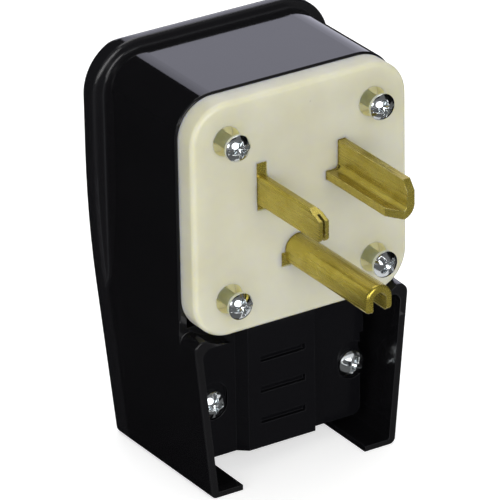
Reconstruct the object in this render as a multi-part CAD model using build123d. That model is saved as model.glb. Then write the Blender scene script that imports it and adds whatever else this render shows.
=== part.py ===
from build123d import *
import math
import os

# Right-angle power plug with three blades: a moulded housing, a nylon face plate and the parts they hold.
# The middle of the face plate's front is the origin, the blades point along -Y, +Z is up and +X is to the
# right when the face is looked at. Lengths are in millimetres.

os.makedirs("parts", exist_ok=True)

# Small overrun that carries a cutting shape past the face that it opens
PAST = 1.0

# Face plate
PLATE_SIZE = 59.0
PLATE_T = 6.3
PLATE_CORNER_R = 9.5
PLATE_FRONT_ROUND = 1.2
PLATE_BACK_ROUND = 0.4
SCREW_PITCH = 40.0
COUNTERBORE_D = 7.3
COUNTERBORE_DEPTH = 3.2
SCREW_HOLE_D = 4.0

# Housing body, the square tube behind the face plate
BODY_OVERSIZE = 0.45
BODY_WALL = 2.0
BODY_DEPTH = 37.2
BODY_EDGE_CHAMFER = 0.35

# Grip rim round the back
RIM_DEPTH = 5.5
RIM_STANDOFF_SIDE = 2.85
RIM_STANDOFF_TOP = 2.35
RIM_CORNER_R = 13.0
RIM_EDGE_ROUND = 0.6
BACK_EDGE_ROUND = 1.5
BACK_TOP_ROUND = 4.0
BACK_TOP_WITNESS = 0.02
RIM_STRAIGHT_TO_Z = 5.0

# Lower walls either side of the cord way
DROP = 71.0
LEDGE_Z = -29.1
LEDGE_RISE = 3.1
WALL = 1.9
WALL_TOP_ROUND = 2.6
WALL_EDGE_CHAMFER = 0.25
LEDGE_OUT = 1.0
SIDE_SLOPE = 0.111
FOOT_TAPER = 0.45
FOOT_ROUND = 1.6
LIP_T = 1.5
LIP_HALF_GAP = 17.3
NEST_GAP = 1.8
CEILING_DEPTH = 3.2
RECESS_CORNER_R = 2.4

# Posts inside the housing, with their threaded inserts
POST_D = 8.4
POST_BORE_D = 3.9
INSERT_D = 5.2
INSERT_L = 8.0
TIP_ROOM = 1.0

# Screws
ASSEMBLY_HEAD_D = 6.6
ASSEMBLY_HEAD_H = 2.5
ASSEMBLY_SHANK_D = 3.5
ASSEMBLY_LENGTH = 25.4
CLAMP_HEAD_D = 6.9
CLAMP_HEAD_H = 2.4
CLAMP_SHANK_D = 3.5
CLAMP_LENGTH = 12.7
TERMINAL_HEAD_D = 7.4
TERMINAL_HEAD_H = 2.4
TERMINAL_SHANK_D = 4.0
TERMINAL_LENGTH = 7.0
THREAD_CLEARANCE = 0.05
HEAD_SKIRT_SHARE = 0.36
HEAD_DOME_SHARE = 0.55
DRIVE_SLOT_W = 1.0
DRIVE_DEPTH = 1.1
DRIVE_CROSS_L = 3.6

# How far the underside of each assembly screw's head stands in front of the face, by corner (X side, Z side)
SCREW_PROUD = {(-1, 1): 4.2, (1, 1): 3.4, (-1, -1): 4.1, (1, -1): 4.2}

# Straight blade, a sheet folded over its upper edge
STRAIGHT_X = -10.57
STRAIGHT_BOTTOM_Z = 2.1
STRAIGHT_W = 7.06
STRAIGHT_T = 2.6
STRAIGHT_LEAF_T = 0.95
STRAIGHT_FOLD_R = 0.9
STRAIGHT_REACH = 26.0
STRAIGHT_TIP_RISE = 1.8
STRAIGHT_TIP_RUN = 4.6
STRAIGHT_TIP_LOW = 0.8
STRAIGHT_SHOULDER_BELOW = 1.7
STRAIGHT_SHOULDER_ABOVE = 3.0

# L blade
L_LEFT_X = 7.1
L_RIGHT_X = 12.5
L_BOTTOM_Z = 3.35
L_TOP_Z = 12.55
L_T = 2.05
L_BEND_R = 3.6
L_REACH = 28.5
L_TOP_TIP_RISE = 2.4
L_TOP_TIP_RUN = 1.9
L_SIDE_TIP_IN = 2.6
L_SIDE_TIP_RUN = 4.2
L_RELIEF_D = 1.0
L_RELIEF_Z = 5.9

# Ground pin, a U section open downwards
GROUND_X = -0.85
GROUND_TOP_Z = -8.3
GROUND_W = 7.2
GROUND_H = 6.6
GROUND_T = 1.8
GROUND_REACH = 34.0
GROUND_TIP_ROUND = 0.8
GROUND_LEG_ROUND = 1.0
GROUND_EAR = 1.0
GROUND_EAR_TOP = 4.05
GROUND_EAR_DROP = 0.8

# Blade seats: shoulders in the face plate, a flange trapped behind it, and a tail that ends in a terminal pad
SHOULDER_SET_BACK = 0.3
FLANGE_T = 1.6
FLANGE_LIP = 1.0
SLOT_CLEARANCE = 0.15
PAD_T = 1.8
PAD_W = 11.0
TERMINAL_OFFSET = 6.2

# Terminal block
BLOCK_T = 8.7
BLOCK_CLEARANCE = 0.6
BLOCK_CORNER_R = 7.0
TERMINAL_WELL_CLEARANCE = 0.5

# Pressure plates
PRESSURE_SIZE = 9.6
PRESSURE_T = 1.2
PRESSURE_CORNER = 0.8
PRESSURE_HOLE_CLEARANCE = 0.2

# Cord clamp
CLAMP_FRONT_Y = 9.0
CLAMP_T = 2.6
CLAMP_RAISE = 2.0
CLAMP_HALF_W = 21.8
CLAMP_SHOULDER_HALF_W = 22.8
CLAMP_STEP_Z = -43.9
CLAMP_TOP_GAP = 0.4
CLAMP_BOTTOM_Z = -65.4
CLAMP_CORNER_R = 2.0
CLAMP_MIDDLE_LEFT = -10.9
CLAMP_MIDDLE_RIGHT = 7.7
CLAMP_SLOPE_LEFT = 2.4
CLAMP_SLOPE_RIGHT = 1.3
CLAMP_SCREW_X = 19.5
CLAMP_SCREW_Z = -51.6
CLAMP_POCKET_W = 7.8
CLAMP_POCKET_RISE = 2.0
CLAMP_POCKET_DEPTH = 0.8
GRIP_SLOT_LEFT = -7.5
GRIP_SLOT_RIGHT = 5.0
GRIP_SLOT_H = 1.65
GRIP_SLOT_DEPTH = 1.2
GRIP_SLOT_TOP_Z = -42.1
GRIP_SLOT_PITCH = 8.1
GRIP_SLOTS = 3
GRIP_RIB_H = 1.4
GRIP_RIB_W = 1.6
GRIP_RIB_HALF_L = 12.0

# Sizes that follow from those above
PLATE_HALF = PLATE_SIZE / 2
BODY_HALF = PLATE_HALF + BODY_OVERSIZE
BODY_CORNER_R = PLATE_CORNER_R + BODY_OVERSIZE
BODY_FRONT = PLATE_T
BACK = BODY_FRONT + BODY_DEPTH
RIM_FRONT = BACK - RIM_DEPTH
INSIDE_BACK = BACK - BODY_WALL
INSIDE_HALF = BODY_HALF - BODY_WALL
RIM_HALF = BODY_HALF + RIM_STANDOFF_SIDE
RIM_TOP = BODY_HALF + RIM_STANDOFF_TOP
LEDGE_HALF_BACK = BODY_HALF + LEDGE_OUT
FOOT_HALF_BACK = LEDGE_HALF_BACK - SIDE_SLOPE * (DROP + LEDGE_Z)
FOOT_HALF_FRONT = FOOT_HALF_BACK - FOOT_TAPER
CEILING_LOW_Z = -PLATE_HALF - NEST_GAP
CEILING_BACK = BODY_FRONT + CEILING_DEPTH
BLOCK_BACK = PLATE_T + BLOCK_T
PAD_BACK = BLOCK_BACK + PAD_T
CLAMP_TOP_Z = CEILING_LOW_Z - CLAMP_TOP_GAP
CLAMP_BACK = CLAMP_FRONT_Y + CLAMP_T
CLAMP_SEAT = CLAMP_FRONT_Y + CLAMP_POCKET_DEPTH
STRAIGHT_TOP_Z = STRAIGHT_BOTTOM_Z + STRAIGHT_W
STRAIGHT_MIDDLE_Z = STRAIGHT_BOTTOM_Z + STRAIGHT_W / 2
GROUND_ARCH_Z = GROUND_TOP_Z - GROUND_W / 2
GROUND_FOOT_Z = GROUND_TOP_Z - GROUND_H
CORNERS = {
    (-1, 1): "upper_left",
    (1, 1): "upper_right",
    (-1, -1): "lower_left",
    (1, -1): "lower_right",
}
SIDES = {-1: "left", 1: "right"}
SCREW_PLACES = {corner: (corner[0] * SCREW_PITCH / 2, corner[1] * SCREW_PITCH / 2) for corner in CORNERS}
TERMINALS = {
    "straight": (STRAIGHT_X - STRAIGHT_T / 2 - TERMINAL_OFFSET, STRAIGHT_MIDDLE_Z),
    "l": (L_RIGHT_X + TERMINAL_OFFSET, (L_BOTTOM_Z + L_TOP_Z) / 2),
    "ground": (GROUND_X, GROUND_FOOT_Z - TERMINAL_OFFSET),
}


def at_depth(y):
    """The upright plane at depth y, whose own X and Y run along +X and +Z."""
    return Plane.XZ.offset(-y)


def slab(outline, y_front, y_back):
    """An outline drawn in X and Z, made solid from y_front to y_back."""
    return extrude(at_depth(y_back) * outline, y_back - y_front)


def rod_along_y(diameter, y_front, y_back, x, z):
    return slab(Pos(x, z) * Circle(diameter / 2), y_front, y_back)


def block_between(x0, x1, y0, y1, z0, z1):
    return Pos((x0 + x1) / 2, (y0 + y1) / 2, (z0 + z1) / 2) * Box(x1 - x0, y1 - y0, z1 - z0)


def rectangle_between(x0, x1, z0, z1):
    return Pos((x0 + x1) / 2, (z0 + z1) / 2) * Rectangle(x1 - x0, z1 - z0)


def rounded_square(half, corner_r):
    return RectangleRounded(2 * half, 2 * half, corner_r)


def both_sides(half):
    return half + mirror(half, Plane.YZ)


# Housing: one moulding, open at the front for the face plate and at the bottom for the cord


def back_outline():
    """Rounded top corners, straight sides, then a slow bend into the tapered lower sides."""
    corner_x = RIM_HALF - RIM_CORNER_R
    corner_z = RIM_TOP - RIM_CORNER_R
    diagonal = RIM_CORNER_R * math.sqrt(0.5)
    bend_top = (RIM_HALF, RIM_STRAIGHT_TO_Z)
    bend_low = (LEDGE_HALF_BACK, LEDGE_Z)
    edges = [
        Line((0, RIM_TOP), (corner_x, RIM_TOP)),
        ThreePointArc((corner_x, RIM_TOP), (corner_x + diagonal, corner_z + diagonal), (RIM_HALF, corner_z)),
        Line((RIM_HALF, corner_z), bend_top),
        TangentArc(bend_top, bend_low, tangent=(0, -1)),
        Line(bend_low, (FOOT_HALF_BACK, -DROP)),
        Line((FOOT_HALF_BACK, -DROP), (0, -DROP)),
        Line((0, -DROP), (0, RIM_TOP)),
    ]
    outline = both_sides(make_face(edges))
    foot = outline.vertices().group_by(Axis.Y)[0].sort_by(Axis.X)
    return fillet([foot[0], foot[-1]], FOOT_ROUND)


def body_outline(inset, foot_z):
    """A square with rounded upper corners, its sides run straight down to foot_z."""
    half = BODY_HALF - inset
    return rounded_square(half, BODY_CORNER_R - inset) + rectangle_between(-half, half, foot_z, 0)


def wall_half(y, z):
    """Half the width over the lower walls at depth y and height z."""
    share = y / RIM_FRONT
    ledge_half = BODY_HALF + (LEDGE_HALF_BACK - BODY_HALF) * share
    foot_half = FOOT_HALF_FRONT + (FOOT_HALF_BACK - FOOT_HALF_FRONT) * share
    rise = (z + DROP) / (LEDGE_Z + DROP)
    return foot_half + (ledge_half - foot_half) * rise


def lower_section(y, inset, top_z, foot_z, top_r=0, foot_r=0):
    """The outline of the tapered lower part at depth y, its sides moved in by the inset."""
    top = wall_half(y, top_z) - inset
    foot = wall_half(y, foot_z) - inset
    corners = [(-top, top_z), (top, top_z), (foot, foot_z), (-foot, foot_z)]
    outline = make_face(Polyline(*corners, close=True))
    if top_r:
        outline = fillet(outline.vertices().group_by(Axis.Y)[-1], top_r)
    if foot_r:
        outline = fillet(outline.vertices().group_by(Axis.Y)[0], foot_r)
    return at_depth(y) * outline


def lower_loft(y_front, y_back, *shape):
    """The lower part between two depths, a little wider at the back than at the front."""
    return loft([lower_section(y_front, *shape), lower_section(y_back, *shape)], ruled=True)


def lower_nose():
    """The front edge of the lower walls, narrower at the very front by the width of its bevel."""
    edge = WALL_EDGE_CHAMFER
    front = lower_section(0, edge, LEDGE_Z - edge, edge - DROP, WALL_TOP_ROUND - edge, FOOT_ROUND - edge)
    back = lower_section(edge, 0, LEDGE_Z, -DROP, WALL_TOP_ROUND, FOOT_ROUND)
    return loft([front, back], ruled=True)


def ledge(side):
    """The sloping step from the body's side out to the wider lower wall."""
    inner = side * (BODY_HALF - BODY_WALL / 2)
    top_z = LEDGE_Z + LEDGE_RISE
    sections = []
    for y in (BODY_FRONT, RIM_FRONT):
        outer = side * wall_half(y, LEDGE_Z)
        corners = [(inner, LEDGE_Z), (outer, LEDGE_Z), (side * BODY_HALF, top_z), (inner, top_z)]
        sections.append(at_depth(y) * make_face(Polyline(*corners, close=True)))
    return loft(sections, ruled=True)


def rim():
    """The raised band round the back, which carries on down as the back of the lower part.

    Its top rolls over to the back, with a fine witness line where the roll meets the flat faces.
    """
    outline = back_outline()
    band = slab(outline, RIM_FRONT, BACK)
    band = fillet(band.faces().sort_by(Axis.Y)[0].edges(), RIM_EDGE_ROUND)
    band = fillet(band.faces().sort_by(Axis.Y)[-1].edges(), BACK_EDGE_ROUND)
    roll_y = BACK - BACK_TOP_ROUND + BACK_TOP_WITNESS
    roll_z = RIM_TOP - BACK_TOP_ROUND + BACK_TOP_WITNESS
    corner = block_between(-RIM_HALF - PAST, RIM_HALF + PAST, roll_y, BACK + PAST, roll_z, RIM_TOP + PAST)
    roll = Pos(0, roll_y, roll_z) * Rot(0, 90, 0) * Cylinder(BACK_TOP_ROUND, 2 * RIM_HALF + 4 * PAST)
    band -= corner - roll
    foot = outline & rectangle_between(-RIM_HALF, RIM_HALF, -DROP, LEDGE_Z)
    return band + slab(foot, RIM_FRONT, RIM_FRONT + RIM_EDGE_ROUND)


def housing():
    body = slab(body_outline(0, LEDGE_Z), BODY_FRONT, RIM_FRONT + RIM_EDGE_ROUND)
    front_edges = body.faces().sort_by(Axis.Y)[0].edges()
    body = chamfer([edge for edge in front_edges if edge.center().Z > LEDGE_Z + PAST], BODY_EDGE_CHAMFER)
    lower = lower_nose()
    lower += lower_loft(WALL_EDGE_CHAMFER, BODY_FRONT, 0, LEDGE_Z, -DROP, WALL_TOP_ROUND, FOOT_ROUND)
    lower += lower_loft(BODY_FRONT, RIM_FRONT, 0, LEDGE_Z, -DROP, 0, FOOT_ROUND)
    outer = body + rim() + lower + ledge(-1) + ledge(1)

    nest = slab(rounded_square(PLATE_HALF + NEST_GAP, PLATE_CORNER_R + NEST_GAP), -PAST, BODY_FRONT)
    inside = slab(body_outline(BODY_WALL, -INSIDE_HALF), BODY_FRONT - PAST, INSIDE_BACK)
    recess = lower_loft(-PAST, CEILING_BACK, WALL, CEILING_LOW_Z, LIP_T - DROP, RECESS_CORNER_R)
    channel = lower_loft(CEILING_BACK, INSIDE_BACK, WALL, CEILING_LOW_Z, LIP_T - DROP)
    throat = block_between(-INSIDE_HALF, INSIDE_HALF, CEILING_BACK, INSIDE_BACK,
                           CEILING_LOW_Z - PAST, PAST - INSIDE_HALF)
    cord_gap = block_between(-LIP_HALF_GAP, LIP_HALF_GAP, -PAST, INSIDE_BACK,
                             -DROP - PAST, LIP_T - DROP + PAST)
    shell = outer - nest - inside - recess - channel - throat - cord_gap

    assembly_reach = COUNTERBORE_DEPTH + ASSEMBLY_LENGTH + TIP_ROOM
    for x, z in SCREW_PLACES.values():
        shell = with_post(shell, x, z, BLOCK_BACK, assembly_reach)
    clamp_reach = CLAMP_SEAT + CLAMP_LENGTH + TIP_ROOM
    for side in SIDES:
        shell = with_post(shell, side * CLAMP_SCREW_X, CLAMP_SCREW_Z, CLAMP_BACK, clamp_reach)
    return shell


def with_post(shell, x, z, front, bore_end):
    """A round post from the back wall, bored for its insert and, behind that, for the end of the screw."""
    shell += rod_along_y(POST_D, front, INSIDE_BACK, x, z)
    shell -= rod_along_y(INSERT_D, front - PAST, front + INSERT_L, x, z)
    return shell - rod_along_y(POST_BORE_D, front, bore_end, x, z)


# Face plate: moulded nylon with a rounded front edge, four counterbored holes and three slots


def face_plate():
    plate = slab(rounded_square(PLATE_HALF, PLATE_CORNER_R), 0, PLATE_T)
    plate = fillet(plate.faces().sort_by(Axis.Y)[0].edges(), PLATE_FRONT_ROUND)
    plate = fillet(plate.faces().sort_by(Axis.Y)[-1].edges(), PLATE_BACK_ROUND)
    for x, z in SCREW_PLACES.values():
        plate -= rod_along_y(COUNTERBORE_D, -PAST, COUNTERBORE_DEPTH, x, z)
        plate -= rod_along_y(SCREW_HOLE_D, -PAST, PLATE_T + PAST, x, z)
    for section in shoulder_sections(SLOT_CLEARANCE):
        plate -= slab(section, -PAST, PLATE_T + PAST)
    return plate


# Blade sections, each widened all round by the value given


def straight_section(by=0.0):
    half = STRAIGHT_T / 2 + by
    low = STRAIGHT_BOTTOM_Z - by
    high = STRAIGHT_TOP_Z + by
    return rectangle_between(STRAIGHT_X - half, STRAIGHT_X + half, low, high)


def straight_shoulder(by=0.0):
    half = STRAIGHT_T / 2 + by
    low = STRAIGHT_BOTTOM_Z - STRAIGHT_SHOULDER_BELOW - by
    high = STRAIGHT_TOP_Z + STRAIGHT_SHOULDER_ABOVE + by
    return rectangle_between(STRAIGHT_X - half, STRAIGHT_X + half, low, high)


def l_section(by=0.0):
    """The L, with the round of its bend outside and inside."""
    left, right = L_LEFT_X - by, L_RIGHT_X + by
    low, high = L_BOTTOM_Z - by, L_TOP_Z + by
    thickness = L_T + 2 * by
    square = rectangle_between(left, right, low, low + thickness)
    square += rectangle_between(right - thickness, right, low, high)
    outer_corner = square.vertices().sort_by_distance((right, low, 0))[0]
    rounded = fillet(outer_corner, L_BEND_R + by)
    inner_corner = rounded.vertices().sort_by_distance((right - thickness, low + thickness, 0))[0]
    return fillet(inner_corner, L_BEND_R - L_T)


def ground_filled(by=0.0):
    """The outer outline of the U: a half-round arch on two legs."""
    half = GROUND_W / 2 + by
    return Pos(GROUND_X, GROUND_ARCH_Z) * Circle(half) + rectangle_between(
        GROUND_X - half, GROUND_X + half, GROUND_FOOT_Z - by, GROUND_ARCH_Z)


def ground_hollow(by=0.0):
    """The space between the legs of the U, open downwards."""
    half = GROUND_W / 2 - GROUND_T - by
    low = GROUND_FOOT_Z - GROUND_EAR_DROP - FLANGE_LIP - PAST
    return Pos(GROUND_X, GROUND_ARCH_Z) * Circle(half) + rectangle_between(
        GROUND_X - half, GROUND_X + half, low, GROUND_ARCH_Z)


def ground_shoulder(by=0.0):
    """The outline of the U with an ear beside the foot of each leg."""
    reach = GROUND_W / 2 + GROUND_EAR + by
    low = GROUND_FOOT_Z - GROUND_EAR_DROP - by
    high = GROUND_TOP_Z - GROUND_EAR_TOP + by
    return ground_filled(by) + rectangle_between(GROUND_X - reach, GROUND_X + reach, low, high)


def shoulder_sections(by=0.0):
    return [straight_shoulder(by), l_section(by), ground_shoulder(by)]


# Blades: each is one stamping, with its front section, shoulder, trapped flange, tail and terminal pad


def with_terminal(blade, terminal, pad):
    """Adds the pad that lies on the back of the block, and the hole for the terminal screw."""
    x, z = TERMINALS[terminal]
    bore = TERMINAL_SHANK_D + 2 * THREAD_CLEARANCE
    blade += slab(pad, BLOCK_BACK, PAD_BACK)
    return blade - rod_along_y(bore, BLOCK_BACK - PAST, PAD_BACK + PAST, x, z)


def straight_blade():
    tip = -STRAIGHT_REACH
    left = STRAIGHT_X - STRAIGHT_T / 2
    profile = Polyline(
        (SHOULDER_SET_BACK, STRAIGHT_BOTTOM_Z),
        (tip + STRAIGHT_TIP_LOW, STRAIGHT_BOTTOM_Z),
        (tip, STRAIGHT_BOTTOM_Z + STRAIGHT_TIP_LOW),
        (tip, STRAIGHT_TOP_Z - STRAIGHT_TIP_RISE),
        (tip + STRAIGHT_TIP_RUN, STRAIGHT_TOP_Z),
        (SHOULDER_SET_BACK, STRAIGHT_TOP_Z),
        close=True,
    )
    front = extrude(Plane.YZ.offset(left) * make_face(profile), STRAIGHT_T)
    front = fillet(front.edges().filter_by(Axis.Y).group_by(Axis.Z)[-1], STRAIGHT_FOLD_R)
    front -= block_between(left + STRAIGHT_LEAF_T, left + STRAIGHT_T - STRAIGHT_LEAF_T, tip - PAST, 0,
                           STRAIGHT_BOTTOM_Z - PAST, STRAIGHT_TOP_Z - STRAIGHT_LEAF_T)
    blade = front + slab(straight_shoulder(), SHOULDER_SET_BACK, PLATE_T)
    blade += slab(straight_shoulder(FLANGE_LIP), PLATE_T, PLATE_T + FLANGE_T)
    blade += slab(straight_section(), PLATE_T, PAD_BACK)
    x, z = TERMINALS["straight"]
    pad = rectangle_between(x - PAD_W / 2, left + STRAIGHT_T, z - PAD_W / 2, z + PAD_W / 2)
    return with_terminal(blade, "straight", pad)


def l_blade():
    tip = -L_REACH
    blade = slab(l_section(), tip, PAD_BACK)
    top_corner = Polyline((tip - PAST, L_TOP_Z + PAST), (tip - PAST, L_TOP_Z - L_TOP_TIP_RISE),
                          (tip, L_TOP_Z - L_TOP_TIP_RISE), (tip + L_TOP_TIP_RUN, L_TOP_Z),
                          (tip + L_TOP_TIP_RUN, L_TOP_Z + PAST), close=True)
    blade -= extrude(Plane.YZ.offset(L_LEFT_X) * make_face(top_corner), L_RIGHT_X - L_LEFT_X + PAST)
    side_corner = Polyline((L_LEFT_X - PAST, tip - PAST), (L_LEFT_X + L_SIDE_TIP_IN, tip - PAST),
                           (L_LEFT_X + L_SIDE_TIP_IN, tip), (L_LEFT_X, tip + L_SIDE_TIP_RUN),
                           (L_LEFT_X - PAST, tip + L_SIDE_TIP_RUN), close=True)
    blade -= extrude(Plane.XY.offset(L_BOTTOM_Z - PAST) * make_face(side_corner), L_T + 2 * PAST)
    relief = Rot(0, 90, 0) * Cylinder(L_RELIEF_D / 2, 2 * L_T)
    blade -= Pos(L_RIGHT_X - L_T, -L_RELIEF_D / 2, L_RELIEF_Z) * relief
    blade += slab(l_section(FLANGE_LIP), PLATE_T, PLATE_T + FLANGE_T)
    x, z = TERMINALS["l"]
    pad = rectangle_between(L_RIGHT_X - L_T, x + PAD_W / 2, z - PAD_W / 2, z + PAD_W / 2)
    return with_terminal(blade, "l", pad)


def ground_pin():
    outline = ground_filled()
    rounded = fillet(outline.vertices().group_by(Axis.Y)[0], GROUND_LEG_ROUND)
    pin = slab(rounded, -GROUND_REACH, SHOULDER_SET_BACK)
    pin = fillet(pin.faces().sort_by(Axis.Y)[0].edges(), GROUND_TIP_ROUND)
    pin += slab(outline, SHOULDER_SET_BACK, PAD_BACK)
    pin += slab(ground_shoulder(), SHOULDER_SET_BACK, PLATE_T)
    pin += slab(ground_shoulder(FLANGE_LIP), PLATE_T, PLATE_T + FLANGE_T)
    pin -= slab(ground_hollow(), -GROUND_REACH - PAST, PAD_BACK + PAST)
    x, z = TERMINALS["ground"]
    pad = rectangle_between(x - PAD_W / 2, x + PAD_W / 2, z - PAD_W / 2, GROUND_FOOT_Z + GROUND_T)
    return with_terminal(pin, "ground", pad)


# Terminal block: a moulded plate behind the face plate, with pockets for the blades' flanges


def terminal_block():
    half = INSIDE_HALF - BLOCK_CLEARANCE
    block = slab(rounded_square(half, BLOCK_CORNER_R), PLATE_T, BLOCK_BACK)
    for section in shoulder_sections(FLANGE_LIP + SLOT_CLEARANCE):
        block -= slab(section, PLATE_T - PAST, PLATE_T + FLANGE_T + SLOT_CLEARANCE)
    ground_tail = ground_filled(SLOT_CLEARANCE) - ground_hollow(SLOT_CLEARANCE)
    for section in (straight_section(SLOT_CLEARANCE), l_section(SLOT_CLEARANCE), ground_tail):
        block -= slab(section, PLATE_T, BLOCK_BACK + PAST)
    for x, z in SCREW_PLACES.values():
        block -= rod_along_y(SCREW_HOLE_D, PLATE_T - PAST, BLOCK_BACK + PAST, x, z)
    well_d = TERMINAL_SHANK_D + 2 * TERMINAL_WELL_CLEARANCE
    well_front = PAD_BACK + PRESSURE_T - TERMINAL_LENGTH - TIP_ROOM
    for x, z in TERMINALS.values():
        block -= rod_along_y(well_d, well_front, BLOCK_BACK + PAST, x, z)
    return block


# Screws, inserts and pressure plates


def pan_screw(head_d, head_h, shank_d, length):
    """A screw whose head stands on Z = 0: a low dome on a short skirt, with a slot across a cross recess."""
    half = head_d / 2
    skirt = head_h * HEAD_SKIRT_SHARE
    rise = head_h - skirt
    dome_r = (half * half + rise * rise) / (2 * rise)
    part_way = half * HEAD_DOME_SHARE
    dome_point = (part_way, head_h - dome_r + math.sqrt(dome_r ** 2 - part_way ** 2))
    outline = [
        Line((0, 0), (half, 0)),
        Line((half, 0), (half, skirt)),
        ThreePointArc((half, skirt), dome_point, (0, head_h)),
        Line((0, head_h), (0, 0)),
    ]
    head = revolve(Plane.XZ * make_face(outline), Axis.Z)
    head -= Pos(0, 0, head_h) * Box(2 * head_d, DRIVE_SLOT_W, 2 * DRIVE_DEPTH)
    head -= Pos(0, 0, head_h) * Box(DRIVE_SLOT_W, DRIVE_CROSS_L, 2 * DRIVE_DEPTH)
    return head + Pos(0, 0, -length / 2) * Cylinder(shank_d / 2, length)


def facing_front(x, y, z):
    return Pos(x, y, z) * Rot(90, 0, 0)


def facing_back(x, y, z):
    return Pos(x, y, z) * Rot(-90, 0, 0)


def insert(x, y, z, shank_d):
    """A brass sleeve pressed into a post, bored for its screw."""
    sleeve = rod_along_y(INSERT_D, y, y + INSERT_L, x, z)
    return sleeve - rod_along_y(shank_d + 2 * THREAD_CLEARANCE, y - PAST, y + INSERT_L + PAST, x, z)


def pressure_plate(x, z):
    """A square plate with clipped corners, bored for the terminal screw."""
    outline = Pos(x, z) * Rectangle(PRESSURE_SIZE, PRESSURE_SIZE)
    outline = chamfer(outline.vertices(), PRESSURE_CORNER)
    plate = slab(outline, PAD_BACK, PAD_BACK + PRESSURE_T)
    bore = TERMINAL_SHANK_D + 2 * PRESSURE_HOLE_CLEARANCE
    return plate - rod_along_y(bore, PAD_BACK - PAST, PAD_BACK + PRESSURE_T + PAST, x, z)


# Cord clamp: side pads for the screws, a raised middle with grip slots, and ribs behind that bite on the cord


def clamp_outline():
    upper = rectangle_between(-CLAMP_SHOULDER_HALF_W, CLAMP_SHOULDER_HALF_W, CLAMP_STEP_Z, CLAMP_TOP_Z)
    outline = upper + rectangle_between(-CLAMP_HALF_W, CLAMP_HALF_W, CLAMP_BOTTOM_Z, CLAMP_STEP_Z)
    return fillet(outline.vertices().group_by(Axis.Y)[0], CLAMP_CORNER_R)


def clamp_middle():
    """The raised band down the middle, with a slope each side."""
    front = CLAMP_FRONT_Y - CLAMP_RAISE
    section = Polyline(
        (CLAMP_MIDDLE_LEFT - CLAMP_SLOPE_LEFT, CLAMP_FRONT_Y),
        (CLAMP_MIDDLE_LEFT, front),
        (CLAMP_MIDDLE_RIGHT, front),
        (CLAMP_MIDDLE_RIGHT + CLAMP_SLOPE_RIGHT, CLAMP_FRONT_Y),
        close=True,
    )
    return extrude(Plane.XY.offset(CLAMP_BOTTOM_Z) * make_face(section), CLAMP_TOP_Z - CLAMP_BOTTOM_Z)


def cord_clamp():
    clamp = slab(clamp_outline(), CLAMP_FRONT_Y, CLAMP_BACK) + clamp_middle()
    front = CLAMP_FRONT_Y - CLAMP_RAISE
    for row in range(GRIP_SLOTS):
        z = GRIP_SLOT_TOP_Z - row * GRIP_SLOT_PITCH
        clamp -= block_between(GRIP_SLOT_LEFT, GRIP_SLOT_RIGHT, front - PAST, front + GRIP_SLOT_DEPTH,
                               z - GRIP_SLOT_H / 2, z + GRIP_SLOT_H / 2)
        clamp += block_between(-GRIP_RIB_HALF_L, GRIP_RIB_HALF_L, CLAMP_BACK, CLAMP_BACK + GRIP_RIB_H,
                               z - GRIP_RIB_W / 2, z + GRIP_RIB_W / 2)
    for side in SIDES:
        x = side * CLAMP_SCREW_X
        pocket = rectangle_between(x - CLAMP_POCKET_W / 2, x + CLAMP_POCKET_W / 2, CLAMP_SCREW_Z,
                                   CLAMP_SCREW_Z + CLAMP_POCKET_RISE)
        for z in (CLAMP_SCREW_Z, CLAMP_SCREW_Z + CLAMP_POCKET_RISE):
            pocket += Pos(x, z) * Circle(CLAMP_POCKET_W / 2)
        clamp -= slab(pocket, front - PAST, CLAMP_SEAT)
        clamp -= rod_along_y(SCREW_HOLE_D, front - PAST, CLAMP_BACK + PAST, x, CLAMP_SCREW_Z)
    return clamp


# All pieces, by the names of their nodes


def all_parts():
    parts = {
        "housing": housing(),
        "face_plate": face_plate(),
        "terminal_block": terminal_block(),
        "straight_blade": straight_blade(),
        "l_blade": l_blade(),
        "ground_pin": ground_pin(),
        "cord_clamp": cord_clamp(),
    }
    assembly_screw = pan_screw(ASSEMBLY_HEAD_D, ASSEMBLY_HEAD_H, ASSEMBLY_SHANK_D, ASSEMBLY_LENGTH)
    for corner, name in CORNERS.items():
        x, z = SCREW_PLACES[corner]
        parts[f"assembly_screw_{name}"] = facing_front(x, -SCREW_PROUD[corner], z) * assembly_screw
        parts[f"assembly_insert_{name}"] = insert(x, BLOCK_BACK, z, ASSEMBLY_SHANK_D)
    clamp_screw = pan_screw(CLAMP_HEAD_D, CLAMP_HEAD_H, CLAMP_SHANK_D, CLAMP_LENGTH)
    for side, name in SIDES.items():
        x = side * CLAMP_SCREW_X
        parts[f"clamp_screw_{name}"] = facing_front(x, CLAMP_SEAT, CLAMP_SCREW_Z) * clamp_screw
        parts[f"clamp_insert_{name}"] = insert(x, CLAMP_BACK, CLAMP_SCREW_Z, CLAMP_SHANK_D)
    terminal_screw = pan_screw(TERMINAL_HEAD_D, TERMINAL_HEAD_H, TERMINAL_SHANK_D, TERMINAL_LENGTH)
    for name, (x, z) in TERMINALS.items():
        parts[f"pressure_plate_{name}"] = pressure_plate(x, z)
        parts[f"terminal_screw_{name}"] = facing_back(x, PAD_BACK + PRESSURE_T, z) * terminal_screw
    return parts


for name, solid in all_parts().items():
    export_step(solid, f"parts/{name}.step")
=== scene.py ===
import math

import bpy
import numpy as np
from mathutils import Matrix, Vector


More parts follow.
